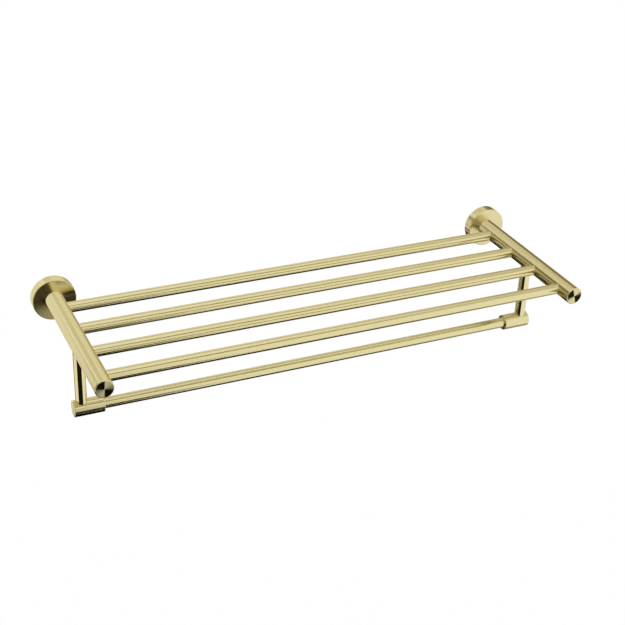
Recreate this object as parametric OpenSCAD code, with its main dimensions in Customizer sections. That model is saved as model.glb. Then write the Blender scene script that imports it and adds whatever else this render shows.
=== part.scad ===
// Wall-mounted towel shelf with a towel bar hung under it, in millimetres.
// The wall is the plane y = 0, the arms reach out from it along -Y, and +Z is up.
// The origin lies on the wall at the height of the arms, half way between them.
// Threads are drawn as plain cylinders at their outer diameter.

/* [Shelf] */
// Distance between the axes of the two arms
arm_pitch = 600; // [300:5:900]
// Distance between the axes of neighbouring shelf bars
bar_pitch = 54; // [40:1:80]
// Outer diameter of a shelf bar
bar_dia = 13.2; // [9:0.1:16]
// Wall of the tube that the shelf bars are cut from
bar_wall = 1.2; // [0.8:0.1:2.5]

/* [Arms] */
// Outer diameter of an arm
arm_dia = 22; // [20:0.5:32]
// Wall of the arm tube
arm_wall = 2; // [1:0.1:2.4]
// Length of the arm in front of the axis of the front shelf bar
arm_nose = 25; // [18:1:60]
// Thickness of the cap that closes the arm's front end
cap_thickness = 3; // [1.5:0.5:6]
// Length of the cap's spigot inside the arm
cap_spigot = 6; // [3:0.5:9]
// Radius of the cap's front edge
cap_edge = 1; // [0.2:0.1:1.4]
// Length of the tapped bush in the arm's rear end
bush_length = 14; // [8:0.5:30]
// Space between the bush and the rear shelf bar
bush_gap = 2.4; // [0.5:0.1:20]

/* [Rosettes and wall plates] */
// Outer diameter of a rosette
rosette_dia = 53; // [48:0.5:90]
// Wall of the rosette's rim
rosette_wall = 2.5; // [1.5:0.1:3.5]
// Thickness of the rosette's front face
rosette_face = 2.5; // [1.5:0.1:5]
// Radius of the rosette's front edge
rosette_edge = 0.8; // [0.3:0.1:1.4]
// Thickness of the wall plate inside the rosette
plate_thickness = 8; // [6:0.5:14]
// Space between the wall plate and the rosette's front face
plate_gap = 2.5; // [1:0.1:6]
// Radial play of the wall plate inside the rosette
plate_play = 0.2; // [0.1:0.05:0.5]
// Diameter of the holes for the wall screws
plate_hole_dia = 5; // [4:0.1:6]
// Diameter of the countersinks for the wall screws
plate_sink_dia = 9.5; // [8:0.1:11]
// Distance from the wall plate's rim to the axis of a screw hole
plate_hole_inset = 7.8; // [7:0.1:9]
// Depth of the groove round the wall plate
groove_depth = 1.5; // [1:0.1:2]

/* [Posts] */
// Drop from the axis of the arms to the axis of the towel bar
rail_drop = 90; // [60:1:200]
// Diameter of a post
post_dia = 13.5; // [10:0.1:16]
// Distance of the posts behind the middle of the shelf bars
post_setback = 2; // [0:0.5:4]
// Length of the barrel nut in the arm over a post
nut_length = 18; // [12:0.5:20]
// Depth of the flat on the nut that the post bears on
nut_flat = 2.5; // [1.5:0.1:4]
// Diameter of the stud that joins the post and the nut
stud_dia = 6; // [4:0.5:7]
// Length of the stud in the post
stud_in_post = 10; // [6:0.5:20]
// Length of the stud in the nut
stud_in_nut = 12; // [6:0.5:14]

/* [Towel bar and holders] */
// Outer diameter of the towel bar
rail_dia = 13.2; // [9:0.1:16]
// Wall of the tube that the towel bar is cut from
rail_wall = 1.2; // [0.8:0.1:2.5]
// Outer diameter of a holder
holder_dia = 20; // [18.5:0.5:30]
// Length of a holder from the post's axis to its mouth
holder_inner = 26; // [18:0.5:60]
// Length of a holder from the post's axis to its closed end
holder_outer = 10; // [9:0.5:30]
// Radius of the edges at both ends of a holder
holder_edge = 0.5; // [0.2:0.1:0.8]
// Metal left between the towel bar's socket and the post's socket
holder_web = 1.8; // [1:0.1:5]
// Metal left under the post
holder_floor = 8; // [5:0.1:10]

/* [Fasteners] */
// Thread of the screw that holds an arm
arm_screw_dia = 6; // [5:0.5:8]
// Diameter of that screw's head
arm_screw_head_dia = 10.5; // [9:0.1:11]
// Height of that screw's head
arm_screw_head_height = 3.3; // [2:0.1:4]
// Width across flats of that screw's socket
arm_screw_key = 4; // [3:0.5:5]
// Diameter of the hole for that screw in the rosette's face
arm_screw_hole_dia = 6.6; // [6.2:0.1:8]
// Length of bush left beyond that screw's tip
arm_screw_spare = 0.5; // [0.2:0.1:4]
// Radial space round that screw's head inside the wall plate
head_room = 2.2; // [1:0.1:3]
// Thread of the grub screws
grub_dia = 4; // [3:0.5:5]
// Width across flats of the grub screws' sockets
grub_key = 2; // [1.5:0.1:2.5]
// Depth of the grub screws' outer ends under the surface round them
grub_sink = 0.3; // [0.2:0.05:0.8]
// Thread of the screw that holds a holder to its post
holder_screw_dia = 5; // [4:0.5:6]
// Head diameter of that countersunk screw
holder_screw_head_dia = 9.2; // [8:0.1:11]
// Width across flats of that screw's socket
holder_screw_key = 3; // [2:0.5:4]
// Length of that screw in the post
holder_screw_in_post = 10; // [6:0.5:16]
// Depth of the sockets in all screw heads
key_depth = 1.5; // [1:0.1:1.8]
// Length of a tapped hole beyond its screw's tip
tap_spare = 2; // [1:0.5:4]

/* [Fits] */
// Radial clearance between a piece and the bore that it sits in
fit = 0.05; // [0.02:0.01:0.1]
// Gap between the end of a bar and the bottom of its socket
end_gap = 0.2; // [0.1:0.05:0.5]

/* [Hidden] */
$fn = 96;

left = -1;
right = 1;
gold = [0.83, 0.76, 0.55];
steel = [0.72, 0.73, 0.75];
zinc = [0.58, 0.59, 0.61];
// How far a cut runs past the face that it opens
past = 1;

arm_r = arm_dia / 2;
arm_bore_r = arm_r - arm_wall;
bar_r = bar_dia / 2;
post_r = post_dia / 2;
rail_r = rail_dia / 2;
holder_r = holder_dia / 2;
rosette_r = rosette_dia / 2;
grub_r = grub_dia / 2;
stud_r = stud_dia / 2;
nut_r = arm_bore_r - fit;
arm_screw_r = arm_screw_dia / 2;

// Distances from the wall
rosette_depth = plate_thickness + plate_gap + rosette_face;
rear_bar_out = rosette_depth + bush_length + bush_gap + bar_r;
bar_out = [for (i = [0:3]) rear_bar_out + i * bar_pitch];
post_out = (bar_out[1] + bar_out[2]) / 2 - post_setback;
arm_reach = bar_out[3] + arm_nose;

// Rosette and wall plate
rosette_bore_r = rosette_r - rosette_wall;
plate_r = rosette_bore_r - plate_play;
groove_r = plate_r - groove_depth;
groove_out = plate_thickness / 2;
plate_hole_height = plate_r - plate_hole_inset;

// A bar's square end meets the curved far wall of the arm here, measured from the arm's axis
bar_seat = sqrt(pow(arm_bore_r, 2) - pow(bar_r, 2));
bar_half = arm_pitch / 2 + bar_seat - end_gap;

// Heights and places on the post and holder, with the arm's axis at z = 0
post_top = nut_flat - nut_r;
holder_bottom = -rail_drop - holder_r;
post_bottom = holder_bottom + holder_floor;
rail_socket_end = -post_r - fit - holder_web;
rail_half = arm_pitch / 2 + rail_socket_end - end_gap;
holder_grub_place = (rail_socket_end - holder_inner) / 2;
holder_head_r = holder_screw_head_dia / 2;
holder_head_face = -rail_drop - sqrt(pow(holder_r, 2) - pow(holder_head_r, 2)) + grub_sink;

// Moves a piece that is drawn round the arm's axis at x = 0, with the middle of the shelf towards -X,
// to its place on one side
module on_side(side) {
    mirror([side == left ? 1 : 0, 0, 0])
        translate([arm_pitch / 2, 0, 0])
            children();
}

// Round bars between two places on an axis
module rod_x(from, to, radius) {
    translate([from, 0, 0])
        rotate([0, 90, 0])
            cylinder(r = radius, h = to - from);
}

module rod_z(from, to, radius) {
    translate([0, 0, from])
        cylinder(r = radius, h = to - from);
}

// A round bar between two distances from the wall
module rod_out(from, to, radius) {
    translate([0, -from, 0])
        rotate([90, 0, 0])
            cylinder(r = radius, h = to - from);
}

// The outline of half a round bar that stands on y = 0, with its far edge rounded, ready to be turned
module round_edged(radius, length, edge) {
    square([radius - edge, length]);
    square([radius, length - edge]);
    translate([radius - edge, length - edge])
        circle(edge);
}

// A six-sided socket that opens downwards at z = 0
module key_socket(width) {
    translate([0, 0, -past])
        cylinder(d = width / cos(30), h = past + key_depth, $fn = 6);
}

// A tube along X, the same length to both sides
module tube_x(half, radius, wall) {
    difference() {
        rod_x(-half, half, radius);
        rod_x(-half - past, half + past, radius - wall);
    }
}

// A grub screw with its outer end at z = 0 and its point upwards
module grub_screw(length, point) {
    difference() {
        union() {
            cylinder(r = grub_r, h = length - point);
            translate([0, 0, length - point])
                cylinder(r1 = grub_r, r2 = grub_r - point, h = point);
        }
        key_socket(grub_key);
    }
}

// Disc that is screwed to the wall. A grub screw in the rosette's rim bites into the groove round it.
module wall_plate(side) {
    color(zinc) on_side(side) difference() {
        rotate([90, 0, 0])
            rotate_extrude()
                polygon([
                    [0, 0],
                    [plate_r, 0],
                    [plate_r, groove_out - groove_depth],
                    [groove_r, groove_out],
                    [plate_r, groove_out + groove_depth],
                    [plate_r, plate_thickness],
                    [0, plate_thickness]
                ]);
        rod_out(-past, plate_thickness + past, arm_screw_head_dia / 2 + head_room);
        for (height = [-plate_hole_height, plate_hole_height])
            translate([0, 0, height]) wall_screw_hole();
    }
}

// Hole for a wall screw, countersunk from the front of the wall plate
module wall_screw_hole() {
    sink_depth = (plate_sink_dia - plate_hole_dia) / 2;
    rod_out(-past, plate_thickness + past, plate_hole_dia / 2);
    translate([0, sink_depth - plate_thickness, 0])
        rotate([90, 0, 0])
            cylinder(d1 = plate_hole_dia, d2 = plate_sink_dia + 2 * past, h = sink_depth + past);
}

// Cup that covers the wall plate and carries the arm on its flat face
module rosette(side) {
    color(gold) on_side(side) difference() {
        rotate([90, 0, 0])
            rotate_extrude()
                round_edged(rosette_r, rosette_depth, rosette_edge);
        rod_out(-past, rosette_depth - rosette_face, rosette_bore_r);
        rod_out(0, rosette_depth + past, arm_screw_hole_dia / 2);
        translate([0, -groove_out, 0])
            rod_z(-rosette_r - past, 0, grub_r + fit);
    }
}

// Grub screw under the rosette, with its cone in the groove of the wall plate
module rosette_grub_screw(side) {
    color(steel) on_side(side)
        translate([0, -groove_out, grub_sink - rosette_r])
            grub_screw(rosette_r - grub_sink - groove_r - fit, grub_r);
}

// Arm with a bore for each shelf bar in its inner side and one for the post in its underside
module arm_tube(side) {
    color(gold) on_side(side) difference() {
        rod_out(rosette_depth, arm_reach - cap_thickness, arm_r);
        rod_out(rosette_depth - past, arm_reach - cap_thickness + past, arm_bore_r);
        for (out = bar_out)
            translate([0, -out, 0]) rod_x(-arm_r - past, 0, bar_r + fit);
        translate([0, -post_out, 0])
            rod_z(-arm_r - past, 0, post_r + fit);
    }
}

// Cap on the arm's front end, with a spigot inside the tube
module arm_end_cap(side) {
    color(gold) on_side(side) {
        translate([0, cap_thickness - arm_reach, 0])
            rotate([90, 0, 0])
                rotate_extrude()
                    round_edged(arm_r, cap_thickness, cap_edge);
        rod_out(arm_reach - cap_thickness - cap_spigot, arm_reach - cap_thickness, arm_bore_r - fit);
    }
}

// Tapped plug in the arm's rear end
module arm_root_bush(side) {
    color(steel) on_side(side) difference() {
        rod_out(rosette_depth, rosette_depth + bush_length, arm_bore_r - fit);
        rod_out(rosette_depth - past, rosette_depth + bush_length + past, arm_screw_r + fit);
    }
}

// Screw from inside the rosette into the bush
module arm_screw(side) {
    seat_out = rosette_depth - rosette_face;
    color(steel) on_side(side) difference() {
        union() {
            rod_out(seat_out - arm_screw_head_height, seat_out, arm_screw_head_dia / 2);
            rod_out(seat_out, rosette_depth + bush_length - arm_screw_spare, arm_screw_r);
        }
        translate([0, arm_screw_head_height - seat_out, 0])
            rotate([90, 0, 0])
                key_socket(arm_screw_key);
    }
}

// Shelf bar, counted from the wall
module shelf_bar(number) {
    color(gold) translate([0, -bar_out[number], 0])
        tube_x(bar_half, bar_r, bar_wall);
}

// Rod from the nut in the arm down into the holder, tapped at both ends
module post(side) {
    color(gold) on_side(side) translate([0, -post_out, 0]) difference() {
        rod_z(post_bottom, post_top, post_r);
        rod_z(post_top - stud_in_post - tap_spare, post_top + past, stud_r + fit);
        rod_z(post_bottom - past, post_bottom + holder_screw_in_post + tap_spare, holder_screw_dia / 2 + fit);
    }
}

// Barrel nut that slides along the arm's bore, with a flat for the post's end
module post_nut(side) {
    color(steel) on_side(side) difference() {
        rod_out(post_out - nut_length / 2, post_out + nut_length / 2, nut_r);
        translate([-arm_r, -post_out - nut_length, -arm_r])
            cube([arm_dia, 2 * nut_length, post_top + arm_r]);
        translate([0, -post_out, 0])
            rod_z(-arm_r, arm_r, stud_r + fit);
    }
}

// Stud between the post and the barrel nut
module post_stud(side) {
    color(steel) on_side(side) translate([0, -post_out, 0])
        rod_z(post_top - stud_in_post, post_top + stud_in_nut, stud_r);
}

// Holder under the post, with a blind socket for the towel bar
module bar_holder(side) {
    color(gold) on_side(side) translate([0, -post_out, 0]) difference() {
        translate([0, 0, -rail_drop]) {
            rotate([0, 90, 0])
                rotate_extrude()
                    round_edged(holder_r, holder_outer, holder_edge);
            rotate([0, -90, 0])
                rotate_extrude()
                    round_edged(holder_r, holder_inner, holder_edge);
        }
        translate([0, 0, -rail_drop])
            rod_x(-holder_inner - past, rail_socket_end, rail_r + fit);
        rod_z(post_bottom, holder_r - rail_drop + past, post_r + fit);
        holder_screw_hole();
        translate([holder_grub_place, 0, 0])
            rod_z(holder_bottom - past, -rail_drop, grub_r + fit);
    }
}

// Hole for the countersunk screw in the holder's underside
module holder_screw_hole() {
    hole_r = holder_screw_dia / 2 + fit;
    rod_z(holder_bottom - past, post_bottom + past, hole_r);
    rod_z(holder_bottom - past, holder_head_face, holder_head_r + fit);
    translate([0, 0, holder_head_face])
        cylinder(r1 = holder_head_r + fit, r2 = hole_r, h = holder_head_r + fit - hole_r);
}

// Countersunk screw up through the holder into the post
module holder_screw(side) {
    shank_r = holder_screw_dia / 2;
    color(steel) on_side(side) translate([0, -post_out, 0]) difference() {
        union() {
            rod_z(holder_head_face, post_bottom + holder_screw_in_post, shank_r);
            translate([0, 0, holder_head_face])
                cylinder(r1 = holder_head_r, r2 = shank_r, h = holder_head_r - shank_r);
        }
        translate([0, 0, holder_head_face])
            key_socket(holder_screw_key);
    }
}

// Grub screw up through the holder onto the end of the towel bar
module holder_grub_screw(side) {
    color(steel) on_side(side)
        translate([holder_grub_place, -post_out, holder_bottom + grub_sink])
            grub_screw(holder_r - grub_sink - rail_r - fit, 0);
}

module towel_bar() {
    color(gold) translate([0, -post_out, -rail_drop])
        tube_x(rail_half, rail_r, rail_wall);
}

wall_plate(left);  // wall_plate_left
wall_plate(right);  // wall_plate_right
rosette(left);  // rosette_left
rosette(right);  // rosette_right
rosette_grub_screw(left);  // rosette_grub_screw_left
rosette_grub_screw(right);  // rosette_grub_screw_right
arm_tube(left);  // arm_tube_left
arm_tube(right);  // arm_tube_right
arm_end_cap(left);  // arm_end_cap_left
arm_end_cap(right);  // arm_end_cap_right
arm_root_bush(left);  // arm_root_bush_left
arm_root_bush(right);  // arm_root_bush_right
arm_screw(left);  // arm_screw_left
arm_screw(right);  // arm_screw_right
shelf_bar(0);  // shelf_bar_rear
shelf_bar(1);  // shelf_bar_mid_rear
shelf_bar(2);  // shelf_bar_mid_front
shelf_bar(3);  // shelf_bar_front
post(left);  // post_left
post(right);  // post_right
post_nut(left);  // post_nut_left
post_nut(right);  // post_nut_right
post_stud(left);  // post_stud_left
post_stud(right);  // post_stud_right
bar_holder(left);  // bar_holder_left
bar_holder(right);  // bar_holder_right
holder_screw(left);  // holder_screw_left
holder_screw(right);  // holder_screw_right
holder_grub_screw(left);  // holder_grub_screw_left
holder_grub_screw(right);  // holder_grub_screw_right
towel_bar();
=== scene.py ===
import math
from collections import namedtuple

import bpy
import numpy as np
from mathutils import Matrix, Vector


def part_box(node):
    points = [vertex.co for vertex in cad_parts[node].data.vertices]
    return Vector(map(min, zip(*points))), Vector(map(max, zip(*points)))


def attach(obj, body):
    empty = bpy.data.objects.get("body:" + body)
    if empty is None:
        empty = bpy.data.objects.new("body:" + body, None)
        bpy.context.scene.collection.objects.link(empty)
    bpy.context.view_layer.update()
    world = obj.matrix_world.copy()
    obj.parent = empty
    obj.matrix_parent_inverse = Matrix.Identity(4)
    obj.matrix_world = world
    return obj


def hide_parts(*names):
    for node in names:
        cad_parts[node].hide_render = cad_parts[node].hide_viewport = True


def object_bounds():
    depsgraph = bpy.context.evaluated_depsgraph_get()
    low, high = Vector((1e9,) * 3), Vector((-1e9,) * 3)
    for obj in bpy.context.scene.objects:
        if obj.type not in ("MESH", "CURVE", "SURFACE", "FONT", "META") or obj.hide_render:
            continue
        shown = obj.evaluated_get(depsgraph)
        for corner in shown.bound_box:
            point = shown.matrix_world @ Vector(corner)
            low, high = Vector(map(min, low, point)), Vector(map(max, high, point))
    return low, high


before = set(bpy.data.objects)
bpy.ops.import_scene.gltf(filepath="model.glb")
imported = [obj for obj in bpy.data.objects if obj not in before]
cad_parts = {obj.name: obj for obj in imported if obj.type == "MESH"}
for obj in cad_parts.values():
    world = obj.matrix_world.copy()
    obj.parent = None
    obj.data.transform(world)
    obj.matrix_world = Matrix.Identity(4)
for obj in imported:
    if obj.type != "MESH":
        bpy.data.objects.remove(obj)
cad_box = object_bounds()

# %% [markdown]
# # A towel shelf in brushed gold
#
# The shelf hangs on a wall: two round arms stand out from two round rosettes, four tubes join the arms, and
# a towel bar hangs below in two short holders. Every one of these pieces was turned, drawn or drilled, so
# each is made of surfaces that go round an axis. That makes them good first pieces for learning to write a
# mesh as a formula: a profile, an axis, and an angle that goes once round.
#
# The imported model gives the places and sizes. We read them from the boxes of its nodes, so that this script
# repeats as few numbers as it can. Lengths are in metres, the wall is y = 0, and the shelf reaches along -Y.

MM = 0.001
X, Y, Z = np.eye(3)
SIDES = {"left": -1, "right": 1}


def box_of(node):
    """The lowest and highest corner of a node, as two numpy points."""
    low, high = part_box(node)
    return np.array(low), np.array(high)


def middle_of(node):
    """The middle of a node's box."""
    return sum(box_of(node)) / 2


def radius_of(node, across):
    """Half of a round piece's box, measured in a direction square to its axis."""
    low, high = box_of(node)
    return (high - low) @ across / 2


shelf_size = [round((high - low) / MM, 1) for low, high in zip(*cad_box)]
print("the shelf is", shelf_size, "mm wide, deep and high")

# %% [markdown]
# ## The camera
#
# The picture was taken from the left, in front and above, a little over a metre and a half away. The place,
# the two angles and the long lens below were worked out from the edges of the shelf, so they are one set
# that belongs together: the lens says how quickly the far end shrinks. The small roll is real too, because
# the posts in the picture don't stand quite upright.

# %% Camera
camera_place = (-0.59253, -1.33241, 0.73604)
camera_yaw = math.radians(25.666)  # from +Y towards +X
camera_pitch = math.radians(29.241)  # down from the horizon
camera_roll = math.radians(2.649)
sensor_width = 36.0
focal_pixels = 1263.3
picture_side = 625


def camera_turn(yaw, pitch, roll):
    """The camera's axes as columns: right, up and backwards. Right lies level before the roll, and up is
    right x forwards. The roll turns right and up about the line of sight."""
    forwards = np.array([math.sin(yaw) * math.cos(pitch), math.cos(yaw) * math.cos(pitch), -math.sin(pitch)])
    level = np.array([math.cos(yaw), -math.sin(yaw), 0.0])
    upright = np.cross(level, forwards)
    right = math.cos(roll) * level + math.sin(roll) * upright
    up = math.cos(roll) * upright - math.sin(roll) * level
    return np.stack([right, up, -forwards], axis=1)


camera_data = bpy.data.cameras.new("view_from_the_left")
camera_data.sensor_width = sensor_width
camera_data.lens = sensor_width * focal_pixels / picture_side
camera = bpy.data.objects.new("view_from_the_left", camera_data)
bpy.context.scene.collection.objects.link(camera)
turn = Matrix(camera_turn(camera_yaw, camera_pitch, camera_roll).tolist()).to_4x4()
camera.matrix_world = Matrix.Translation(Vector(camera_place)) @ turn
bpy.context.scene.camera = camera
print("the lens is", round(camera_data.lens, 1), "mm on a", sensor_width, "mm sensor")

# %% [markdown]
# ## Sheets: surfaces of two parameters
#
# A piece is a list of sheets. A sheet is a grid of points with a normal and a UV place at each, all worked
# out by a formula. Neighbouring sheets share the points along their common rim, and one call welds them into
# a closed mesh. Each face corner keeps the normal of its own sheet, so a round wall shades as truly round
# and a sharp rim stays sharp, however few faces it has. Modifiers could smooth a coarser mesh, but polished
# metal shows every flaw in its normals, so we write down the true ones.

# %% Sheets
def sheet(points, normals, uv, keep=None, paint=0):
    """A grid of rows x columns: points and normals (rows, columns, 3), uv (rows, columns, 2), keep, a mask
    of the grid's cells, (rows - 1, columns - 1), where some are left out, and the number of its material."""
    rows, columns = points.shape[:2]
    return {
        "points": points,
        "normals": np.broadcast_to(normals, points.shape),
        "uv": uv,
        "keep": np.ones((rows - 1, columns - 1), bool) if keep is None else keep,
        "paint": paint,
    }


def cell_corners(points, start=0):
    """The four corners of each cell of a grid, going round it. The grid's points are numbered from start."""
    rows, columns = points.shape[:2]
    number = start + np.arange(rows * columns).reshape(rows, columns)
    return np.stack([number[:-1, :-1], number[:-1, 1:], number[1:, 1:], number[1:, :-1]], axis=-1)


small_sheet = sheet(np.zeros((3, 5, 3)), Z, np.zeros((3, 5, 2)))
print("a sheet of 3 x 5 points has", small_sheet["keep"].size, "cells")

# %% [markdown]
# A face knows which way it looks by the order of its corners, so a face that looks to the wrong side has its
# corners turned round. The diagonals tell: their cross product stands square on the face.

# %% Corners of all sheets
def joined(sheets, key):
    """One value of every sheet, all in a single list of rows."""
    width = sheets[0][key].shape[-1]
    return np.concatenate([s[key].reshape(-1, width) for s in sheets])


def facing_corners(sheets, points, normals):
    """The corners of all kept cells. Where (diagonal x other diagonal) points away from the sum of the four
    normals, the corners go round the other way."""
    starts = np.cumsum([0] + [s["points"][..., 0].size for s in sheets[:-1]])
    corners = np.concatenate([cell_corners(s["points"], at)[s["keep"]] for s, at in zip(sheets, starts)])
    across = points[corners[:, 2]] - points[corners[:, 0]]
    over = points[corners[:, 3]] - points[corners[:, 1]]
    facing = (np.cross(across, over) * normals[corners].sum(axis=1)).sum(axis=1)
    corners[facing < 0] = corners[facing < 0, ::-1]
    return corners


print("two such sheets have", len(joined([small_sheet, small_sheet], "points")), "points")

# %% [markdown]
# To weld, we lay a very fine grid over space and let all the points in one of its cells become one vertex.
# In the middle of a disc a whole side of a cell shrinks to one point, and there the cell becomes a triangle.
# The normals go in last, one for each corner of each face.

# %% Welding
WELD = 1e-6  # points in the same cell of this size are one vertex
CELL_START = 0.37  # moves the cells off the round numbers that points often lie on


def welded_mesh(name, sheets):
    """One mesh from many sheets, with equal points welded and sides of no length left out."""
    points, normals, uv = [joined(sheets, key) for key in ("points", "normals", "uv")]
    corners = facing_corners(sheets, points, normals)
    paint = np.concatenate([np.full(s["keep"].sum(), s["paint"]) for s in sheets])
    cells = np.floor(points / WELD + CELL_START).astype(np.int64)
    _, first, vertex_of = np.unique(cells, axis=0, return_index=True, return_inverse=True)
    vertices = vertex_of.reshape(-1)[corners]
    kept = vertices != np.roll(vertices, -1, axis=1)
    whole = kept.sum(axis=1) >= 3  # a face has at least three corners
    kept = kept[whole]
    loops = corners[whole][kept]
    used, vertex_of_loop = np.unique(vertices[whole][kept], return_inverse=True)
    sides = kept.sum(axis=1)
    mesh = bpy.data.meshes.new(name)
    mesh.vertices.add(len(used))
    mesh.vertices.foreach_set("co", points[first[used]].astype(np.float32).ravel())
    mesh.loops.add(len(loops))
    mesh.loops.foreach_set("vertex_index", vertex_of_loop.astype(np.int32))
    mesh.polygons.add(len(sides))
    mesh.polygons.foreach_set("loop_start", (np.cumsum(sides) - sides).astype(np.int32))
    mesh.polygons.foreach_set("material_index", paint[whole].astype(np.int32))
    mesh.update(calc_edges=True)
    mesh.uv_layers.new(name="UVMap").uv.foreach_set("vector", uv[loops].astype(np.float32).ravel())
    mesh.polygons.foreach_set("use_smooth", np.ones(len(sides), bool))
    mesh.normals_split_custom_set(normals[loops])
    return mesh


print("points within", WELD / MM, "mm become one vertex")

# %% [markdown]
# A finished piece takes the place of a plain solid. We hang it on the frame, say which node it replaces and
# which material it is made of, and count: in a closed mesh each edge has exactly two faces.

# %% A finished piece
def new_piece(node, sheets, materials):
    """Makes the finished piece for a node and checks that it is closed. The Euler number, vertices - edges +
    faces, is 2 for a piece with no hole through it, 0 for a tube, and 2 less for each further hole."""
    mesh = welded_mesh(node + "_finished", sheets)
    piece = bpy.data.objects.new(node + "_finished", mesh)
    bpy.context.scene.collection.objects.link(piece)
    for material in materials:
        mesh.materials.append(material)
    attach(piece, "root")
    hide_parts(node)
    edge_of_loop = np.zeros(len(mesh.loops), np.int32)
    mesh.loops.foreach_get("edge_index", edge_of_loop)
    open_edges = int((np.bincount(edge_of_loop, minlength=len(mesh.edges)) != 2).sum())
    euler = len(mesh.vertices) - len(mesh.edges) + len(mesh.polygons)
    print(f"{piece.name}: {len(mesh.polygons)} faces, {open_edges} open edges, Euler number {euler}")
    return piece


print(len(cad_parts), "plain nodes are in the frame")

# %% [markdown]
# ## Turning on an axis
#
# A lathe turns a profile round an axis. An axis here is a place, the direction along it, and the direction
# where the angle starts to count. The points go once round in equal steps, and the last one lies on the
# first, so that the brushing can run on without a seam.

# %% Axes
TURNS = 96  # columns round an axis
COLUMN_ANGLE = 2 * math.pi / TURNS
FULL_TURN = np.arange(TURNS + 1) * COLUMN_ANGLE


def axis_at(origin, along, zero):
    """A turning axis: where it starts, its direction, the direction of angle 0, and that of a quarter turn,
    which is along x zero."""
    return {"origin": np.array(origin, float), "along": along, "zero": zero, "quarter": np.cross(along, zero)}


def round_about(axis, angles):
    """Unit vectors square to an axis: cos(t) * zero + sin(t) * quarter."""
    return np.cos(angles)[..., None] * axis["zero"] + np.sin(angles)[..., None] * axis["quarter"]


print("one turn has", TURNS, "columns of", round(math.degrees(COLUMN_ANGLE), 2), "degrees")

# %% [markdown]
# The profile is a line of (along, out) points: how far along the axis, and how far out from it. Real edges
# are never quite sharp, and the small roundings catch the light, so each corner of the profile may have a
# radius. The metal lies to the right of the way along the profile and the air to the left, so the left side
# is where the normals point.

# %% Profiles
ARC_STEPS = 6  # faces across a rounded edge


def rounded_profile(corners):
    """Points and normals of a profile given by corners (along, out, radius). A corner with a radius becomes
    an arc that leaves the sides radius * tan(bend / 2) from the corner. A sharp corner keeps its point twice,
    once with the normal of each side."""
    at = np.array([corner[:2] for corner in corners])
    way = np.diff(at, axis=0)
    way /= np.linalg.norm(way, axis=1, keepdims=True)
    left = np.stack([-way[:, 1], way[:, 0]], axis=1)
    points, normals = [at[:1]], [left[:1]]
    for k in range(1, len(at) - 1):
        radius = corners[k][2]
        before = left[k - 1]
        bend = math.atan2(before @ way[k], way[k - 1] @ way[k])
        share = np.linspace(0, 1, ARC_STEPS + 1 if radius else 2)[:, None]
        arc = before * np.cos(bend * share) + np.array([-before[1], before[0]]) * np.sin(bend * share)
        hollow = 1 if bend > 0 else -1
        start = at[k] - way[k - 1] * radius * math.tan(abs(bend) / 2)
        points.append(start + hollow * radius * (before - arc))
        normals.append(arc)
    return np.concatenate(points + [at[-1:]]), np.concatenate(normals + [left[-1:]])


one_corner, _ = rounded_profile([(0.0, 1.0, 0.0), (1.0, 1.0, 0.2), (1.0, 0.0, 0.0)])
print("a profile with one rounded corner has", len(one_corner), "points")

# %% [markdown]
# Now the lathe itself. Each point of the profile goes round the axis, and each normal with it. The UV map
# counts turns one way and metres the other, and the finish will read its angle and its place from there.

# %% Lathe
def turned(axis, corners, angles=FULL_TURN, paint=0):
    """Point = origin + along * a + (cos(t) * zero + sin(t) * quarter) * r, where (a, r) runs along the
    profile and t goes once round. UV: u counts turns, and v is the length along the profile."""
    profile, slope = rounded_profile(corners)
    out = round_about(axis, angles)
    points = axis["origin"] + profile[:, None, :1] * axis["along"] + profile[:, None, 1:] * out
    normals = slope[:, None, :1] * axis["along"] + slope[:, None, 1:] * out
    run = np.concatenate([[0], np.cumsum(np.linalg.norm(np.diff(profile, axis=0), axis=1))])
    v, u = np.meshgrid(run, angles / (2 * math.pi), indexing="ij")
    return sheet(points, normals, np.stack([u, v], axis=-1), paint=paint)


disc = turned(axis_at((0, 0, 0), Z, X), [(0.0, 1.0, 0.0), (0.0, 0.0, 0.0)])
print("a disc off the lathe is a grid of", disc["points"].shape[:2], "points")

# %% [markdown]
# ## Drilling a round wall
#
# A hole drilled square through a tube has a rim like a saddle: it is a circle seen along the drill, but it
# bends down with the tube at both sides. A boolean cut could make it, and would leave long thin triangles
# whose normals spoil the reflections. Instead we leave a window of cells out of the tube's grid and fill it
# with rings that change step by step from the window's outline to the rim. All of the new points lie on the
# tube itself, so the metal round the hole stays perfectly round.

# %% Windows
Hole = namedtuple("Hole", "along column radius columns rows half")  # place, size, and size of the window
LARGE_WINDOW = {"columns": 32, "rows": 16, "half": 9 * MM}
SMALL_WINDOW = {"columns": 12, "rows": 6, "half": 3 * MM}
DOWN = TURNS // 2  # the column under a level axis, which has its angle 0 on top
PLACE_DIGITS = 9  # decimals of a place along an axis, so that rows in the same place are equal


def sideways(side):
    """The column at the side of an arm that faces the middle of the shelf."""
    return TURNS // 4 if side > 0 else 3 * TURNS // 4


def hole_turns(hole):
    """Angles once round the drill's axis, with one step for each point of the window's outline."""
    count = 2 * (hole.columns + hole.rows)
    return (np.arange(count + 1) - hole.columns / 2) * (2 * math.pi / count)


def window_rows(hole):
    """Places along the axis of the window's rows: along - half to along + half, in equal steps."""
    return np.round(hole.along + np.linspace(-hole.half, hole.half, hole.rows + 1), PLACE_DIGITS)


for window in (LARGE_WINDOW, SMALL_WINDOW):
    width = math.degrees(window["columns"] * COLUMN_ANGLE)
    print("a window is", round(2 * window["half"] / MM), "mm long and", round(width), "degrees wide")

# %% [markdown]
# The rings change from the round rim to the window's square outline. Most of them lie near the rim, where
# the outline of the hole has to be round. A wall can face outwards, or inwards when it is a bore.

# %% Drilled walls
RING_SHARES = np.array([0, 0.12, 0.35, 0.65, 1])[:, None]  # from the rim to the window's outline


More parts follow.
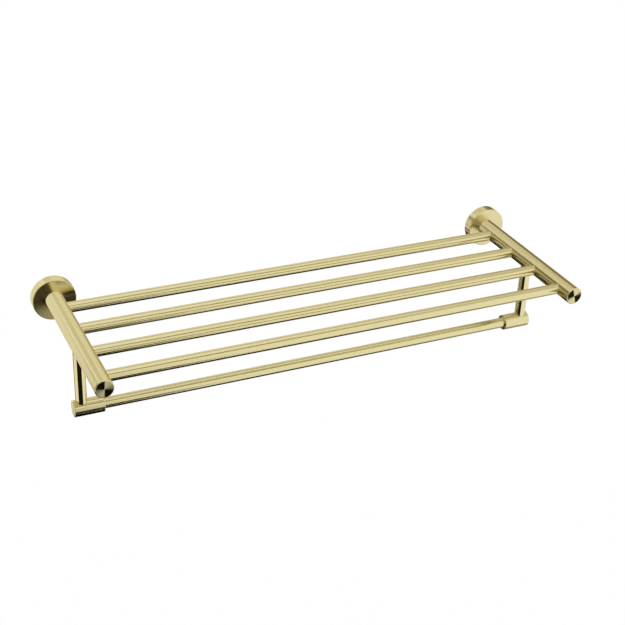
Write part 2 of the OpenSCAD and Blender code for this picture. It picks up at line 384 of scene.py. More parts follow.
def wall_sheet(axis, radius, along, columns, facing, keep=None):
    """Part of a round wall, from places along it and (fractional) columns round it."""
    angle = columns * COLUMN_ANGLE
    out = round_about(axis, angle)
    points = axis["origin"] + along[..., None] * axis["along"] + radius * out
    return sheet(points, facing * out, np.stack([angle / (2 * math.pi), along], axis=-1), keep)


def rim_patch(axis, radius, hole, facing):
    """Rings round a hole. Rim: along = drill radius * cos(t), across = drill radius * sin(t), and the angle
    on the wall is arcsin(across / wall radius). Each ring is a share of the way to the window's outline."""
    t = hole_turns(hole)
    rim_along = hole.along + hole.radius * np.cos(t)
    rim_column = hole.column + np.arcsin(hole.radius * np.sin(t) / radius) / COLUMN_ANGLE
    rows = window_rows(hole)
    sweep = hole.column + np.arange(-hole.columns // 2, hole.columns // 2 + 1)
    outline_along = np.concatenate(
        [np.full(hole.columns, rows[-1]), rows[:0:-1], np.full(hole.columns, rows[0]), rows])
    outline_column = np.concatenate(
        [sweep[:-1], np.full(hole.rows, sweep[-1]), sweep[:0:-1], np.full(hole.rows + 1, sweep[0])])
    along = rim_along * (1 - RING_SHARES) + outline_along * RING_SHARES
    column = rim_column * (1 - RING_SHARES) + outline_column * RING_SHARES
    return wall_sheet(axis, radius, along, column, facing)


def drilled_wall(axis, radius, ends, holes, facing):
    """A round wall with rims for its holes. Facing is 1 for an outer wall and -1 for a bore."""
    rows = np.unique(np.concatenate([np.round(ends, PLACE_DIGITS)] + [window_rows(hole) for hole in holes]))
    along, column = np.meshgrid(rows, np.arange(TURNS + 1), indexing="ij")
    keep = np.ones((len(rows) - 1, TURNS), bool)
    for hole in holes:
        inside = (rows[:-1] >= window_rows(hole)[0]) & (rows[:-1] < window_rows(hole)[-1])
        width = np.arange(hole.column - hole.columns // 2, hole.column + hole.columns // 2)
        keep[np.ix_(inside, width)] = False
    skin = wall_sheet(axis, radius, along, column, facing, keep)
    return [skin] + [rim_patch(axis, radius, hole, facing) for hole in holes]


print("each hole has", len(RING_SHARES) - 1, "rings round it")

# %% [markdown]
# The hole has a wall of its own, from the rim in the outside to the rim in the bore or to a floor. Its ends
# are saddles too, so each column of this wall has its own height.

# %% The wall of a hole
def drill_axis(axis, hole):
    """The hole's own axis: it points out of the wall, and its angle 0 lies along the wall."""
    angle = hole.column * COLUMN_ANGLE
    out = round_about(axis, angle)
    across = math.cos(angle) * axis["quarter"] - math.sin(angle) * axis["zero"]
    origin = axis["origin"] + hole.along * axis["along"]
    return {"origin": origin, "along": out, "zero": axis["along"], "quarter": across}


def saddle(hole, wall_radius):
    """Height of the rim over the wall's axis: the third side of a triangle on the drill's offset."""
    return np.sqrt(wall_radius ** 2 - (hole.radius * np.sin(hole_turns(hole))) ** 2)


def hole_wall(axis, hole, top, bottom):
    """The straight wall of a hole between two heights, each one number or one for each angle round it."""
    drill = drill_axis(axis, hole)
    t = hole_turns(hole)
    out = round_about(drill, t)
    height = np.stack([np.broadcast_to(top, t.shape), np.broadcast_to(bottom, t.shape)])
    points = drill["origin"] + height[..., None] * drill["along"] + hole.radius * out
    u = np.broadcast_to(t / (2 * math.pi), height.shape)
    return sheet(points, -out, np.stack([u, height], axis=-1))


bar_hole = Hole(0.0, DOWN, radius_of("towel_bar", Z), **LARGE_WINDOW)
dip = np.ptp(saddle(bar_hole, radius_of("arm_tube_left", Z)))
print("the rim of a bar's hole in an arm dips by", round(dip / MM, 2), "mm")

# %% [markdown]
# ## A white room with grey and black cards
#
# Polished metal has hardly any look of its own: it shows the room. Here the room is plain: white light from
# everywhere, and a white floor far below. White alone would make the shelf look like flat paint, so a
# photographer hangs cards round it, and each card draws a band along the tubes.

# %% Room
white = (1.0, 1.0, 1.0, 1.0)
world = bpy.data.worlds.new("white_room")
world.use_nodes = True
world.node_tree.nodes["Background"].inputs["Color"].default_value = white
world.cycles.sampling_method = "NONE"  # light comes from everywhere alike, so there is nothing to aim at
bpy.context.scene.world = world
bpy.context.scene.view_settings.view_transform = "Standard"
print("the room has no lamps, and light of strength 1 comes from everywhere")

# %% [markdown]
# Floor, cards and metals all use the same shader, and only its inputs differ. The first helper sets inputs by
# their labels, and the second makes a material, so that each paint takes a line or two.

# %% Materials
black = (0.0, 0.0, 0.0, 1.0)


def set_inputs(node, **values):
    """Sets inputs of a node by their labels, with _ for a space."""
    for label, value in values.items():
        node.inputs[label.replace("_", " ")].default_value = value


def new_material(name, **values):
    """Returns a material and the inputs of its shader, some of which may be given values."""
    material = bpy.data.materials.new(name)
    material.use_nodes = True
    shader = material.node_tree.nodes["Principled BSDF"]
    set_inputs(shader, **values)
    return material, shader.inputs


floor_paint, inputs = new_material("floor_paint", Base_Color=white, Roughness=1.0, Specular_IOR_Level=0.0)
print("the shader has", len(inputs), "inputs")

# %% [markdown]
# The floor lies far below, as the shelf hangs on a wall. It is dull and as white as the room, so it can't be
# told from it. It is a piece of the room, not of the shelf.

# %% Floor
floor_height = -2.1
floor_half = 30.0


def stage_piece(name, points, material):
    """A grid of points as a piece of the room."""
    mesh = bpy.data.meshes.new(name)
    mesh.from_pydata(points.reshape(-1, 3).tolist(), [], cell_corners(points).reshape(-1, 4).tolist())
    mesh.materials.append(material)
    piece = bpy.data.objects.new(name, mesh)
    bpy.context.scene.collection.objects.link(piece)
    return piece


reach = np.array([-floor_half, floor_half])
floor_x, floor_y = np.meshgrid(reach, reach, indexing="ij")
floor_points = np.stack([floor_x, floor_y, np.full_like(floor_x, floor_height)], axis=-1)
floor = stage_piece("floor", floor_points, floor_paint)
floor.visible_glossy = False  # metal sees the room below instead, which is as white, and the low cards
print("the floor lies", -floor_height, "m below the arms")

# %% [markdown]
# A card is given by its directions, as seen from the shelf. They are angles as on a globe: the azimuth goes
# round the shelf, and the elevation goes up from the horizon.

# %% Directions
def direction(azimuth, elevation):
    """Unit vectors. Azimuth 0 looks out from the wall along -Y, and grows towards +X."""
    azimuth, elevation = np.radians(azimuth), np.radians(elevation)
    level = np.cos(elevation)
    return np.stack([np.sin(azimuth) * level, -np.cos(azimuth) * level, np.sin(elevation)], axis=-1)


print("at azimuth 45 and elevation 0 we look along", direction(45, 0).round(2))

# %% [markdown]
# A card's brightness is a number, where 1 is as white as the room. It has to look the same wherever it hangs,
# so it gives off light of its own. The photograph's greys are warm, so the cards are too: each colour is the
# brightness to a power of its own. The cards in front stay grey, because they are mostly seen by way of two
# golden surfaces, which warm them enough.

# %% The paint of a card
card_warmth = (1.0, 1.12, 1.5)
neutral = (1.0, 1.0, 1.0)
olive = (1.0, 1.02, 1.25)  # for the nearly black ones
nearly_black = 0.1


def card_colour(brightness, warmth):
    """Each of the three colours is the brightness to the power that warmth gives."""
    return tuple(brightness ** power for power in warmth)


def card_paint(name, brightness, warmth):
    """A card is as bright as it is written, whatever light falls on it."""
    glow = {"Emission_Color": card_colour(brightness, warmth) + (1,), "Emission_Strength": 1.0}
    paint, _ = new_material(name, Base_Color=black, Specular_IOR_Level=0.0, **glow)
    return paint


print("a half bright card is", [round(colour, 2) for colour in card_colour(0.5, card_warmth)])

# %% [markdown]
# A card is a piece of a large sphere round the shelf, and a later card hangs a little nearer and so in front
# of an earlier one. Only reflections see the cards, so they darken neither the floor nor the picture.

# %% Making a card
card_distance = 12.0
card_gap = 0.1
card_centre = np.array([0.0, -0.11, -0.03])
card_step = 3.0  # degrees between the points of a card


def only_in_reflections(piece):
    """Neither the camera nor the soft light on dull surfaces sees the piece."""
    piece.visible_camera = False
    piece.visible_diffuse = False
    piece.visible_transmission = False
    piece.visible_shadow = False


def card(order, name, azimuths, elevations, brightness):
    """Point = centre + distance * direction(azimuth, elevation), over a range of each, in degrees."""
    steps = [max(2, round((high - low) / card_step) + 1) for low, high in (azimuths, elevations)]
    azimuth, elevation = np.meshgrid(
        np.linspace(*azimuths, steps[0]), np.linspace(*elevations, steps[1]), indexing="ij")
    distance = card_distance - card_gap * order
    points = card_centre + distance * direction(azimuth, elevation)
    warmth = olive if brightness < nearly_black else card_warmth
    paint = card_paint("card_" + name, brightness, neutral if "front" in name else warmth)
    only_in_reflections(stage_piece("card_" + name, points, paint))


print("a card hangs", card_distance, "m away, and each further one", card_gap, "m nearer")

# %% [markdown]
# Each row is a card: its name, from where to where it reaches round the shelf, from where to where it reaches
# up, and its brightness. The names say where they hang, as seen by somebody who stands before the shelf, and
# "behind" is the side of the wall. The cards behind are what the bars and the arms' tops mirror, those in
# front are seen in the rosettes' faces and the holders, and the low dark ones make the undersides dark. The
# narrow ones, called dip, line, strip, corner or mouth, draw fine lines and shadows.

# %% Cards
CARDS = [
    ("high_left", (-180, -60), (33, 65), 0.8),
    ("high_behind_right", (100, 180), (36, 60), 0.7),
    ("behind_left", (-180, -142), (-35, 33), 0.97),
    ("dip_left", (-180, -160), (28, 37), 0.7),
    ("dip_right", (172, 180), (29, 38), 0.7),
    ("behind_right", (95, 144), (-22, 30), 0.65),
    ("behind_far_right", (144, 180), (-22, 4), 0.6),
    ("behind_up_right", (144, 172), (4, 36), 0.9),
    ("high_right", (8, 100), (45, 62), 0.65),
    ("high_line", (14, 38), (41, 58), 0.3),
    ("front_far_left", (-90, -58), (-20, 30), 0.15),
    ("front_left", (-58, -15), (-20, 30), 0.4),
    ("front_strip", (-15, 8), (-20, 30), 0.05),
    ("line_right", (133, 143), (-6, 34), 0.25),
    ("line_up_right", (139, 148), (17, 36), 0.3),
    ("side_left", (-142, -90), (-19, 33), 0.2),
    ("side_line_left", (-142, -90), (-8, 8), 0.65),
    ("side_top_left", (-147, -142), (14, 33), 0.2),
    ("low_left", (-150, -70), (-60, -38), 0.4),
    ("strip_left", (-142, -78), (-29.5, -19), 0.36),
    ("low_behind_left", (-180, -168), (-60, -37), 0.04),
    ("low_corner_left", (-168, -150), (-60, -34), 0.04),
    ("low_mouth_left", (-155, -135), (-44, -24), 0.05),
    ("low_behind_right", (130, 180), (-60, -22), 0.03),
    ("low_right", (30, 130), (-60, -50), 0.45),
    ("below", (-180, 180), (-88, -60), 0.0),
]
for order, row in enumerate(CARDS):
    card(order, *row)
print(len(CARDS), "cards hang round the shelf")

# %% [markdown]
# One black board stands much nearer, in front and to the left. It gives the left half of each post its black
# stripe, and the left holder and the left ends of the bars their black undersides. As it is near, each piece
# sees it at a different angle, and so the stripes and shadows aren't alike at the two ends of the shelf.

# %% Board
board_brightness = 0.012
board_points = np.array([
    [(-0.70, -0.346, -1.6), (-0.70, -0.346, -0.15)],
    [(0.08, -0.84, -1.6), (0.08, -0.84, -0.34)],
])
only_in_reflections(stage_piece("board", board_points, card_paint("board", board_brightness, olive)))
board_size = np.linalg.norm(board_points[1, 0] - board_points[0, 0])
print("the board is", round(board_size, 2), "m wide")

# %% [markdown]
# ## The marks of brushing
#
# Brushed gold is polished first and then turned against fine grit, so its scratches run round each piece.
# Two things follow. Reflections smear across the scratches, along the tube, which the shader calls
# anisotropy. And fine rings show when the eye comes close. The rings are made of shader nodes, so we first
# need a few tools that make nodes and join them.

# %% Tools for nodes
def add_node(tree, kind, **settings):
    """A new node, with its settings."""
    node = tree.nodes.new(kind)
    for key, value in settings.items():
        setattr(node, key, value)
    return node


def calculate(tree, operation, *values):
    """A math node. Each value is a number or another node's output."""
    node = add_node(tree, "ShaderNodeMath", operation=operation)
    for socket, value in zip(node.inputs, values):
        if isinstance(value, (int, float)):
            socket.default_value = value
        else:
            tree.links.new(value, socket)
    return node.outputs[0]


def new_group(name, inputs, output):
    """A node group with number inputs, given as a dictionary of defaults, and one number output."""
    tree = bpy.data.node_groups.new(name, "ShaderNodeTree")
    for label, default in inputs.items():
        socket = tree.interface.new_socket(name=label, in_out="INPUT", socket_type="NodeSocketFloat")
        socket.default_value = default
    tree.interface.new_socket(name=output, in_out="OUTPUT", socket_type="NodeSocketFloat")
    entry = add_node(tree, "NodeGroupInput")
    leave = add_node(tree, "NodeGroupOutput")
    return tree, entry.outputs, leave.inputs[output]


print("a group has named inputs and one output")

# %% [markdown]
# The rings are a noise that changes slowly round the piece, because it reads the cosine and sine of the
# angle, and quickly along it. As cosine and sine come back to the same place after one turn, the pattern has
# no seam.

# %% Rings of brushing
def uv_parts(tree):
    """Angle in radians and length in metres, from the UV that each finished piece carries."""
    place = add_node(tree, "ShaderNodeUVMap", uv_map="UVMap")
    parts = add_node(tree, "ShaderNodeSeparateXYZ")
    tree.links.new(place.outputs[0], parts.inputs[0])
    return calculate(tree, "MULTIPLY", parts.outputs[0], 2 * math.pi), parts.outputs[1]


def noise(tree, vector, detail):
    """Noise in three dimensions."""
    node = add_node(tree, "ShaderNodeTexNoise")
    set_inputs(node, Scale=1.0, Detail=detail)
    tree.links.new(vector, node.inputs["Vector"])
    return node.outputs[0]


def brushed_lines_group():
    """Noise at (cos t, sin t, length / line width)."""
    tree, given, result = new_group("brushed_lines", {"Line Width": 1.0 * MM}, "Value")
    angle, length = uv_parts(tree)
    point = add_node(tree, "ShaderNodeCombineXYZ")  # the parts of the place that the noise reads
    tree.links.new(calculate(tree, "COSINE", angle), point.inputs[0])
    tree.links.new(calculate(tree, "SINE", angle), point.inputs[1])
    tree.links.new(calculate(tree, "DIVIDE", length, given["Line Width"]), point.inputs[2])
    tree.links.new(noise(tree, point.outputs[0], detail=1.0), result)
    return tree


brushed_lines = brushed_lines_group()
print("the rings are in the group", brushed_lines.name)

# %% [markdown]
# The second group is for castings and plating. They have no direction, so their noise reads the place on the
# object and is the same in all directions.

# %% Grain
def fine_grain_group():
    """Noise at (place on the object) / grain size."""
    tree, given, result = new_group("fine_grain", {"Grain Size": 1.0 * MM}, "Value")
    place = add_node(tree, "ShaderNodeTexCoord")
    scaled = add_node(tree, "ShaderNodeVectorMath", operation="SCALE")
    tree.links.new(place.outputs["Object"], scaled.inputs[0])
    tree.links.new(calculate(tree, "DIVIDE", 1.0, given["Grain Size"]), scaled.inputs["Scale"])
    tree.links.new(noise(tree, scaled.outputs[0], detail=3.0), result)
    return tree


fine_grain = fine_grain_group()
print("the grain is in the group", fine_grain.name)

# %% [markdown]
# The third group paints light and shade into the colour of a turned face: two pale sectors as a painted
# reflection, with painted shade in the sectors between. A disc that was turned on a lathe has rings too fine
# to see, and they catch the light in two opposite directions; here that look is painted on.

# %% Painted light and shade on a turned face
def painted_bow_tie_group():
    """Two wedges of painted highlight in a turn, with painted shade between them. Each half turn counts from
    0 to 1. The painted light rises gently from 0 to Rise, falls quickly from Fall to Gone, and the two are
    multiplied."""
    tree, given, result = new_group("painted_bow_tie", {"Rise": 0.3, "Fall": 0.56, "Gone": 0.64}, "Value")
    angle, _ = uv_parts(tree)
    share = calculate(tree, "FRACT", calculate(tree, "DIVIDE", angle, math.pi))
    rise = add_node(tree, "ShaderNodeMapRange", interpolation_type="SMOOTHSTEP")
    tree.links.new(share, rise.inputs["Value"])
    tree.links.new(given["Rise"], rise.inputs["From Max"])
    fall = add_node(tree, "ShaderNodeMapRange", interpolation_type="SMOOTHSTEP")
    tree.links.new(share, fall.inputs["Value"])
    tree.links.new(given["Gone"], fall.inputs["From Min"])
    tree.links.new(given["Fall"], fall.inputs["From Max"])
    tree.links.new(calculate(tree, "MULTIPLY", rise.outputs[0], fall.outputs[0]), result)
    return tree


painted_bow_tie = painted_bow_tie_group()
print("the sectors are in the group", painted_bow_tie.name)

# %% [markdown]
# ## Gold, zinc and steel
#
# Every piece of this shelf is metal, and a metal has hardly any colour of its own: its base colour is the
# colour of its reflections. So all paints here have Metallic at 1 and differ in colour, roughness and marks.
# The tools below feed the groups' noise into them.

# %% Tools for paints
noise_low, noise_high = 0.3, 0.7  # noise mostly lies between these


def group_value(tree, group, **inputs):
    """Places a group in a material, with values of its own."""
    node = add_node(tree, "ShaderNodeGroup", node_tree=group)
    set_inputs(node, **inputs)
    return node.outputs[0]


def blend(tree, share, low, high):
    """A colour between two colours."""
    node = add_node(tree, "ShaderNodeMix", data_type="RGBA")
    colours = [socket for socket in node.inputs if socket.type == "RGBA"]
    colours[0].default_value = low
    colours[1].default_value = high
    tree.links.new(share, node.inputs["Factor"])
    return next(socket for socket in node.outputs if socket.type == "RGBA")


def spread(tree, value, low, high):
    """Noise becomes a number that mostly lies between low and high."""
    node = add_node(tree, "ShaderNodeMapRange")
    set_inputs(node, From_Min=noise_low, From_Max=noise_high, To_Min=low, To_Max=high)
    tree.links.new(value, node.inputs["Value"])
    return node.outputs[0]


def bumps(tree, shader, value, height):
    """Lets the light see the surface raised by up to the height."""
    node = add_node(tree, "ShaderNodeBump")
    set_inputs(node, Distance=height)
    tree.links.new(value, node.inputs["Height"])
    tree.links.new(node.outputs[0], shader["Normal"])


print("noise from", noise_low, "to", noise_high, "fills the range that a paint asks for")

# %% [markdown]
# The gold is a thin coloured film on the brushed metal, with a second colour for reflections that glance off
# it. All gold shares the rings. The thin posts are the smoothest. The bars and holders are as rough as the
# arms, but the picture shows their reflections drawn out further along the tube, so they smear more.
#
# A face turned on the lathe has deeper grooves and smears more still. The light that they throw to one side
# makes two pale sectors, and the sectors between stay dark. This is the bow tie that every turned disc shows.
# The white room would wash it out, so both caps and the left rosette have it painted into their colour as a
# painted reflection: pale sectors of gold, with painted shade between them that is nearly black on the caps
# and a shaded gold on the rosette. The right rosette faces the light and is left plain.

# %% Gold
gold_light = (0.78, 0.70, 0.39, 1)
gold_deep = (0.75, 0.67, 0.365, 1)
# painted shade: the nearly black wedges of the bow tie painted on the caps' faces
cap_painted_shade = (0.015, 0.013, 0.005, 1)
# painted shade: the wedges between the pale ones on the left rosette's face
shaded_gold = (0.17, 0.135, 0.06, 1)
gold_edge = (0.92, 0.87, 0.72, 1)  # reflections seen at a glancing angle
line_width = 1.2 * MM
line_depth = 0.00005 * MM  # the rings are polished nearly flat
roughness_play = 0.01  # how far the rings vary the roughness to either side
across_the_rings = 0.25  # of a turn, from the tangent


def gold_paint(name, roughness, smear, dark=gold_deep, share_of=None):
    """Brushed gold. The tangent runs round the piece, and a quarter turn sets the smear across it. The rings
    mix the dark colour and the light gold, unless share_of says what else does: on turned faces the painted
    bow tie, where the dark colour is painted shade."""
    grooves = {"Anisotropic": smear, "Anisotropic_Rotation": across_the_rings}
    paint, shader = new_material(name, Metallic=1.0, Specular_Tint=gold_edge, **grooves)
    tree = paint.node_tree
    lines = group_value(tree, brushed_lines, Line_Width=line_width)
    share = share_of(tree) if share_of else spread(tree, lines, 0.0, 1.0)
    rough = spread(tree, lines, roughness - roughness_play, roughness + roughness_play)
    tree.links.new(blend(tree, share, dark, gold_light), shader["Base Color"])
    tree.links.new(rough, shader["Roughness"])
    tangent = add_node(tree, "ShaderNodeTangent", direction_type="UV_MAP", uv_map="UVMap")
    tree.links.new(tangent.outputs[0], shader["Tangent"])
    bumps(tree, shader, lines, line_depth)
    return paint


def sectors(tree):
    """The share of the light colour on a turned face, as the bow tie gives it: 1 is painted highlight, 0 is
    painted shade.
    """
    return group_value(tree, painted_bow_tie)


drawn_gold = gold_paint("drawn_gold", roughness=0.17, smear=0.3)
bar_gold = gold_paint("bar_gold", roughness=0.17, smear=0.7)
post_gold = gold_paint("post_gold", roughness=0.09, smear=0.3)
# the caps' faces carry a painted reflection: pale wedges of gold and nearly black painted shade
cap_gold_painted_reflection = gold_paint("cap_gold_painted_reflection", roughness=0.33, smear=1.0, dark=cap_painted_shade, share_of=sectors)
# the left rosette's face carries painted shade between pale wedges, and the right one is plain
rosette_gold = {
    "left": gold_paint("rosette_gold_left_painted_shade", roughness=0.2, smear=1.0, dark=shaded_gold, share_of=sectors),
    "right": gold_paint("rosette_gold_right", roughness=0.3, smear=0.8),
}
golds = [drawn_gold, bar_gold, post_gold, cap_gold_painted_reflection, *rosette_gold.values()]
print("golds:", ", ".join(paint.name for paint in golds))

# %% [markdown]
# Inside, where hardly anybody looks, the wall plates are plain zinc castings, grey and a little pitted. The
# screws, studs, nuts and bushes are plated steel, bright with faint cloudy colours.

# %% Zinc and steel
zinc_tones = (0.50, 0.51, 0.53, 1), (0.64, 0.65, 0.67, 1)
steel_tones = (0.70, 0.73, 0.78, 1), (0.76, 0.74, 0.68, 1)


def grainy_paint(name, grain, tones, rough, height):
    """A metal whose grain varies between two tones and two roughnesses, and raises the surface a little."""
    paint, shader = new_material(name, Metallic=1.0)
    tree = paint.node_tree
    value = group_value(tree, fine_grain, Grain_Size=grain)
    tree.links.new(blend(tree, spread(tree, value, 0.0, 1.0), *tones), shader["Base Color"])
    tree.links.new(spread(tree, value, *rough), shader["Roughness"])
    bumps(tree, shader, value, height)
    return paint


zinc = grainy_paint("zinc_casting", 0.6 * MM, zinc_tones, rough=(0.45, 0.6), height=0.03 * MM)
steel = grainy_paint("plated_steel", 2.5 * MM, steel_tones, rough=(0.22, 0.34), height=0.002 * MM)
print("grainy metals:", zinc.name, "and", steel.name)

# %% [markdown]
# The solids of the frame get their paint by their names. The ones that a finished piece replaces are painted
# too, in plain gold, so that nothing is left bare.

# %% Paint for the frame's nodes
for node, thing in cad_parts.items():
    thing.data.materials.clear()
    if "wall_plate" in node:
        thing.data.materials.append(zinc)
    elif any(word in node for word in ("screw", "stud", "nut", "bush")):
        thing.data.materials.append(steel)
    else:
        thing.data.materials.append(drawn_gold)
    thing.visible_glossy = "wall_plate" not in node  # the arms would mirror them through the rosettes
print(len(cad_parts), "CAD nodes painted")

# %% [markdown]
# ## The bars
#
# The four shelf bars and the towel bar are drawn tubes, cut to length. The shelf bars are caught between the
# two arms and the towel bar between the holders, so their ends are never seen, but they are made all the
# same: a tube has an outside, a bore and two end rings, with a broken edge between them. One profile goes
# round all of it.

# %% Bars
bar_wall = 1.2 * MM
tube_edge = 0.3 * MM
BARS = ("shelf_bar_rear", "shelf_bar_mid_rear", "shelf_bar_mid_front", "shelf_bar_front")


def tube_profile(half, radius, wall, edge):
    """A closed tube from -half to half: back along the bore, round one end, along the outside, and round
    the other end to where it began."""
    bore = radius - wall
    middle = (0.0, bore, 0.0)
    ends = [(-half, bore, edge), (-half, radius, edge), (half, radius, edge), (half, bore, edge)]
    return [middle] + ends + [middle]


for node in BARS + ("towel_bar",):
    axis = axis_at(middle_of(node), X, Z)
    profile = tube_profile(radius_of(node, X), radius_of(node, Z), bar_wall, tube_edge)
    new_piece(node, [turned(axis, profile)], [bar_gold])

# %% [markdown]
# ## The arms
#
# Each arm is a thicker tube, drilled from the inner side for the four bars and from below for the post. The
# holes go through one wall only, so the outer side stays plain. The bore takes the bush at the wall and the
# spigot of the cap in front.

# %% Arms
fit = 0.05 * MM  # clearance at the radius


def annulus(axis, along, inner, outer, facing):
    """A flat ring square to the axis, facing along it (1) or back (-1)."""
    ends = [(along, outer, 0.0), (along, inner, 0.0)]
    return turned(axis, ends if facing > 0 else ends[::-1])


def axis_off_wall(node, zero):
    """The axis of a round piece that stands out from the wall, so a place along it is -y."""
    return axis_at((middle_of(node)[0], 0, 0), -Y, zero)


def arm_sheets(name, side):
    """Outside, bore, the walls of the holes, and a ring at each end."""
    node = "arm_tube_" + name
    low, high = box_of(node)
    axis = axis_off_wall(node, Z)
    outer = radius_of(node, Z)
    bore = radius_of("arm_root_bush_" + name, Z) + fit
    ends = (-high[1], -low[1])
    post = "post_" + name
    column = sideways(side)
    holes = [Hole(-middle_of(bar)[1], column, radius_of(bar, Z) + fit, **LARGE_WINDOW) for bar in BARS]
    holes.append(Hole(-middle_of(post)[1], DOWN, radius_of(post, X) + fit, **LARGE_WINDOW))
    return [
        *drilled_wall(axis, outer, ends, holes, 1),
        *drilled_wall(axis, bore, ends, holes, -1),
        *[hole_wall(axis, hole, saddle(hole, outer), saddle(hole, bore)) for hole in holes],
        annulus(axis, ends[0], bore, outer, -1),
        annulus(axis, ends[1], bore, outer, 1),
    ]


for name, side in SIDES.items():
    new_piece("arm_tube_" + name, arm_sheets(name, side), [drawn_gold])

# %% [markdown]
# ## The end caps
#
# A cap is a turned plug. Its spigot fills the arm's bore, and its face closes the arm with a finely rounded
# rim. The face is a sheet of its own with paint 1, the second material, which is gold with a painted bow tie:
# a painted reflection of pale sectors with painted shade between them. The two ends are seen and lit from
# slightly different sides, so their painted bow ties start at different angles.

# %% Caps
cap_edge = 1.0 * MM
spigot_edge = 0.3 * MM
# where each cap's painted bow tie starts, as an angle from straight up
painted_bow_tie_start = {"left": math.radians(-112.5), "right": math.radians(-93.75)}


def up_turned_by(angle):
    """Straight up, turned by an angle towards -X: cos(t) * Z - sin(t) * X."""
    return math.cos(angle) * Z - math.sin(angle) * X


for name in SIDES:
    node = "arm_end_cap_" + name
    low, high = box_of(node)
    # the angle 0 of this axis is where the painted bow tie starts
    axis = axis_off_wall(node, up_turned_by(painted_bow_tie_start[name]))
    radius = radius_of(node, Z)
    spigot = radius_of("arm_root_bush_" + name, Z)
    shoulder = -box_of("arm_tube_" + name)[0][1]
    plug = [
        (-high[1], 0.0, 0.0),
        (-high[1], spigot, spigot_edge),
        (shoulder, spigot, 0.0),
        (shoulder, radius, 0.0),
        (-low[1], radius, cap_edge),
        (-low[1], radius - cap_edge, 0.0),
    ]
    face = [(-low[1], radius - cap_edge, 0.0), (-low[1], 0.0, 0.0)]
    new_piece(node, [turned(axis, plug), turned(axis, face, paint=1)], [drawn_gold, cap_gold_painted_reflection])

# %% [markdown]
# ## The rosettes
#
# A rosette is a shallow cup that hides the wall plate. The arm's screw passes through the middle of its face,
# and a small grub screw in the underside of its rim grips the plate. The light falls on its face a little
# further round than on the cap, so the painted bow tie on the left rosette, pale sectors with painted shade
# between, is turned on.

# %% Rosettes
rosette_wall = 2.5 * MM
rosette_face = 2.5 * MM
rosette_edge = 0.8 * MM
arm_screw_hole = 3.3 * MM  # radius
# how much further round than the cap's the left rosette's painted bow tie starts
painted_bow_tie_turn = math.radians(18.75)  # whole steps round the rim, so that face and rim still meet

for name in SIDES:
    node = "rosette_" + name
    depth = -box_of(node)[0][1]
    outer = radius_of(node, X)
    bore = outer - rosette_wall
    inside = depth - rosette_face
    grub = "rosette_grub_screw_" + name
    axis = axis_off_wall(node, Z)
    # the angle 0 of the face's axis is where the painted bow tie starts
    face_axis = axis_off_wall(node, up_turned_by(painted_bow_tie_start[name] + painted_bow_tie_turn))
    hole = Hole(-middle_of(grub)[1], DOWN, radius_of(grub, X) + fit, **SMALL_WINDOW)
    brim = outer - rosette_edge
    rim = [(depth - rosette_edge, outer, 0.0), (depth, outer, rosette_edge), (depth, brim, 0.0)]
    face = [(depth, brim, 0.0), (depth, arm_screw_hole, 0.0)]
    back = [(depth, arm_screw_hole, 0.0), (inside, arm_screw_hole, 0.0), (inside, bore, 0.0)]
    cup = new_piece(node, [
        *drilled_wall(axis, outer, (0.0, depth - rosette_edge), [hole], 1),
        *drilled_wall(axis, bore, (0.0, inside), [hole], -1),
        hole_wall(axis, hole, saddle(hole, outer), saddle(hole, bore)),
        turned(axis, rim),
        turned(face_axis, face, paint=1),
        turned(axis, back),
        annulus(axis, 0.0, bore, outer, -1),
    ], [drawn_gold, rosette_gold[name]])
    # kept out of reflections also because the painted shade on the left face would darken the arm's root
    cup.visible_glossy = False  # its image in the arm is lost in the brushing

# %% [markdown]
# ## The posts
#
# The posts are solid rod, because both of their ends are tapped: the upper end for a stud into the arm, and
# the lower end for the screw that comes up through the holder. A tapped hole is always drilled a little
# deeper than its screw goes.

# %% Posts
post_edge = 0.2 * MM
tap_spare = 2 * MM
holder_screw_thread = 2.5 * MM  # radius

for name in SIDES:
    node = "post_" + name
    low, high = box_of(node)
    axis = axis_at(middle_of(node) * (1, 1, 0), Z, X)
    radius = radius_of(node, X)
    stud = radius_of("post_stud_" + name, X) + fit
    stud_end = box_of("post_stud_" + name)[0][2] - tap_spare
    screw = holder_screw_thread + fit
    screw_end = box_of("holder_screw_" + name)[1][2] + tap_spare
    profile = [
        (screw_end, 0.0, 0.0),
        (screw_end, screw, 0.0),
        (low[2], screw, 0.0),
        (low[2], radius, post_edge),
        (high[2], radius, post_edge),
        (high[2], stud, 0.0),
        (stud_end, stud, 0.0),
        (stud_end, 0.0, 0.0),
    ]
    new_piece(node, [turned(axis, profile)], [post_gold])

# %% [markdown]
# ## The holders
#
# A holder is a short cylinder with two drillings that cross: a blind socket from the inner end for the towel
# bar, and a seat from above for the post. Below the seat a narrow channel lets the screw up, and opens into a
# cone and a recess for its head. A small hole beside it takes the grub screw that grips the bar.

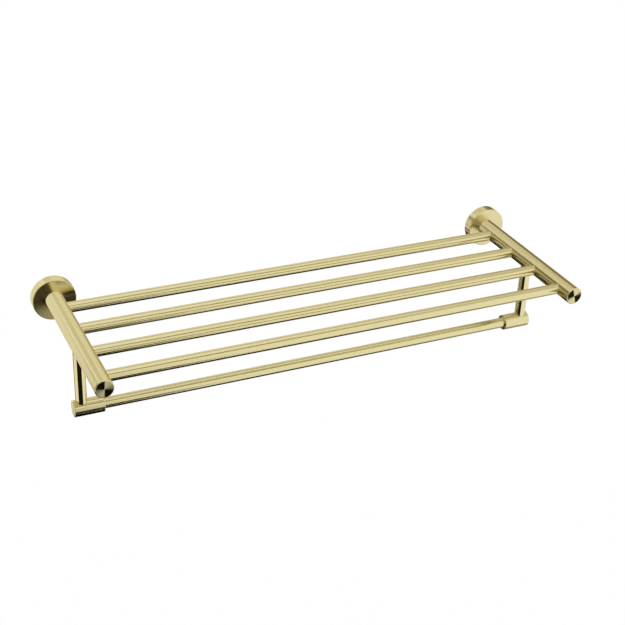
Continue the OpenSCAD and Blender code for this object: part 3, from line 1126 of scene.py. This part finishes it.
# %% Holders
holder_edge = 0.5 * MM
bar_end_gap = 0.2 * MM


def holder_sheets(name, side):
    """The outside with its three holes, the socket, the way of the screw, and the two ends."""
    node = "bar_holder_" + name
    low, high = box_of(node)
    place = middle_of("towel_bar")
    axis = axis_at((0, place[1], place[2]), side * X, Z)
    outer = radius_of(node, Z)
    mouth, end = sorted(abs(x) for x in (low[0], high[0]))
    socket = radius_of("towel_bar", Z) + fit
    socket_end = box_of("towel_bar")[1][0] + bar_end_gap
    post = "post_" + name
    screw = "holder_screw_" + name
    grub = "holder_grub_screw_" + name
    top = Hole(abs(middle_of(post)[0]), 0, radius_of(post, X) + fit, **LARGE_WINDOW)
    recess = Hole(top.along, DOWN, radius_of(screw, X) + fit, **LARGE_WINDOW)
    grub_hole = Hole(abs(middle_of(grub)[0]), DOWN, radius_of(grub, X) + fit, **SMALL_WINDOW)
    floor = box_of(post)[0][2] - place[2]
    head = box_of(screw)[0][2] - place[2]
    shank = holder_screw_thread + fit
    channel = [
        (floor, top.radius, 0.0),
        (floor, shank, 0.0),
        (head + recess.radius - shank, shank, 0.0),
        (head, recess.radius, 0.0),
    ]
    inner_end = [(mouth, socket, 0.0), (mouth, outer, holder_edge), (mouth + holder_edge, outer, 0.0)]
    outer_end = [(end - holder_edge, outer, 0.0), (end, outer, holder_edge), (end, 0.0, 0.0)]
    return [
        *drilled_wall(axis, outer, (mouth + holder_edge, end - holder_edge), [top, recess, grub_hole], 1),
        *drilled_wall(axis, socket, (mouth, socket_end), [grub_hole], -1),
        hole_wall(axis, grub_hole, saddle(grub_hole, outer), saddle(grub_hole, socket)),
        hole_wall(axis, top, saddle(top, outer), floor),
        turned(drill_axis(axis, top), channel, hole_turns(top)),
        hole_wall(axis, recess, saddle(recess, outer), -head),
        turned(axis, inner_end),
        turned(axis, outer_end),
        turned(axis, [(socket_end, 0.0, 0.0), (socket_end, socket, 0.0)]),
    ]


for name, side in SIDES.items():
    new_piece("bar_holder_" + name, holder_sheets(name, side), [bar_gold])
